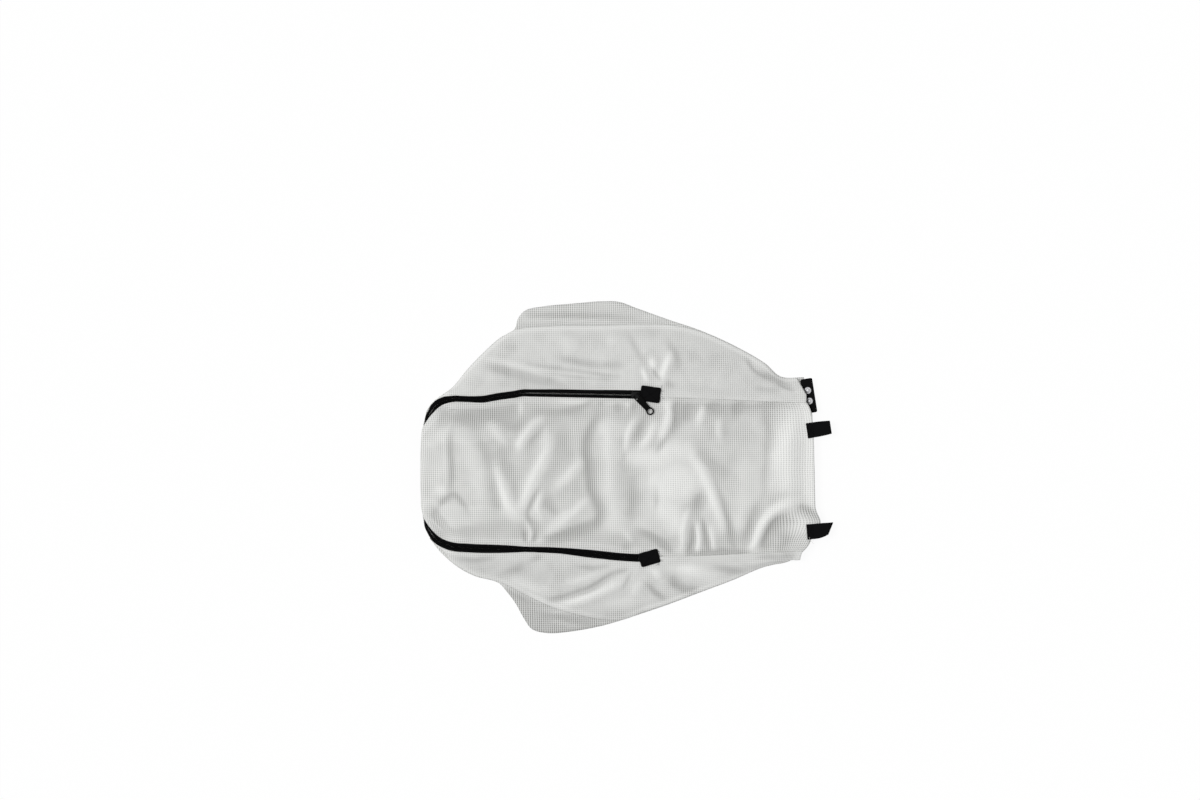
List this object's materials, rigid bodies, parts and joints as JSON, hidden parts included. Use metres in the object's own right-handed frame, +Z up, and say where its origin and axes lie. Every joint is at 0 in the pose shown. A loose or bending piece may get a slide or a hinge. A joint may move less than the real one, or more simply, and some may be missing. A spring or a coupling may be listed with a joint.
{
  "type": "mower grass collection bag",
  "caption": "Empty flat-lying mesh collection bag with a rounded zipped dump flap, side gussets, webbing loops at the mouth and a snap strip.",
  "frame": {"origin": "on the floor under the middle of the bag, on the flat underside of the bottom panel", "axes": "+X towards the mouth, +Y towards the side with the zip slider, +Z up off the floor"},
  "size_m": [0.6755, 0.5476, 0.0412],
  "materials": {
    "mesh_cloth": "matt white woven mesh",
    "black_webbing": "matt black woven tape",
    "nylon_chain": "satin black",
    "black_enamel": "satin black enamel",
    "plated_steel": "plated, slightly dull"
  },
  "bodies": {
    "bag": {"bottom_panel": "mesh_cloth", "side_panel_upper": "mesh_cloth", "side_panel_lower": "mesh_cloth", "top_panel": "mesh_cloth", "zip_tape_outer": "black_webbing", "zip_tape_inner": "black_webbing", "zip_end_tab_upper": "black_webbing", "zip_end_tab_lower": "black_webbing", "mouth_loop_upper": "black_webbing", "mouth_loop_lower": "black_webbing", "snap_tab": "black_webbing", "zip_teeth_outer": "nylon_chain", "zip_teeth_inner": "nylon_chain", "snap_cap_1": "plated_steel", "snap_cap_2": "plated_steel", "snap_back_1": "plated_steel", "snap_back_2": "plated_steel"},
    "slider": {"zip_slider": "black_enamel"},
    "pull": {"zip_pull": "black_enamel"}
  },
  "joints": [
    {"name": "slider_run", "type": "slide", "parent": "bag", "child": "slider", "axis": [-0.9998, 0.0195, 0], "range_m": [0, 0.18]},
    {"name": "pull_flip", "type": "hinge", "parent": "slider", "child": "pull", "pos_m": [0.02528, 0.13509, 0.0275], "axis": [-0.7445, -0.6676, 0], "range_deg": [0, 160]}
  ]
}
